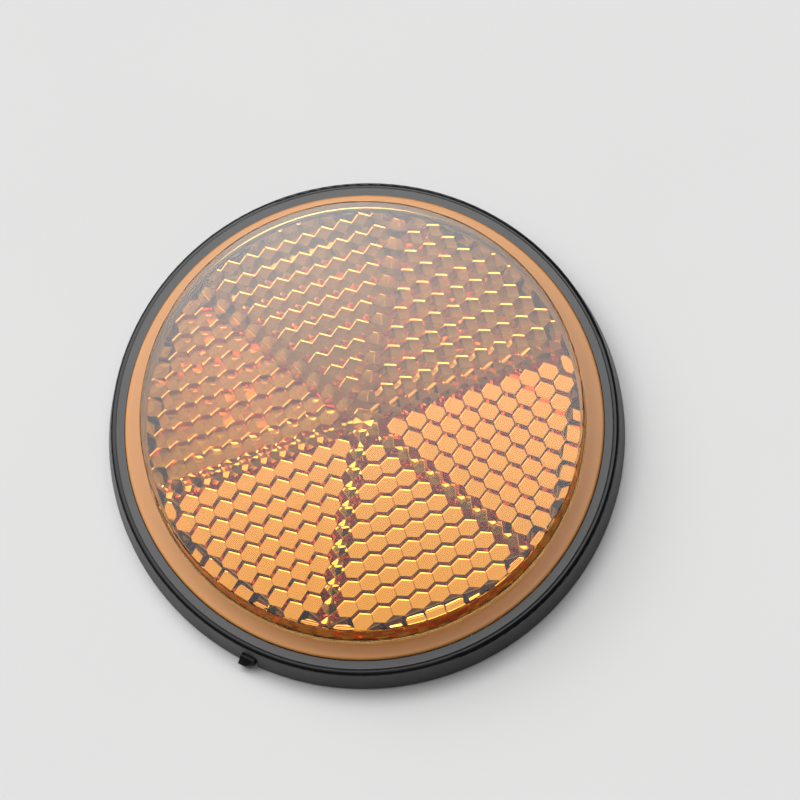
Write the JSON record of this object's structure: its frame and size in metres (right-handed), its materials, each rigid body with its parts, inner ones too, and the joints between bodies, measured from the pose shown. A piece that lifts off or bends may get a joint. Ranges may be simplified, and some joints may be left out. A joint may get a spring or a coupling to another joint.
{
  "type": "round reflector",
  "caption": "Round amber retro-reflector: thick clear lens with a hexagonal corner-cube prism array, set in a shallow black housing with a flat back for a mounting pad.",
  "frame": {"origin": "centre of the flat back face, at the foot of the housing", "axes": "+Z out of the lens, along the axis of the reflector; +X along one border between two prism sectors; the broken moulding gate is at 223 degrees round from +X"},
  "size_m": [0.06, 0.06, 0.0103],
  "materials": {
    "housing_black": "black moulded plastic, matte land on the rim and a glossy rounded edge",
    "lens_amber": "clear amber acrylic, polished disc, lightly frosted flange"
  },
  "bodies": {
    "root": {"housing": "housing_black", "lens": "lens_amber"}
  },
  "joints": []
}
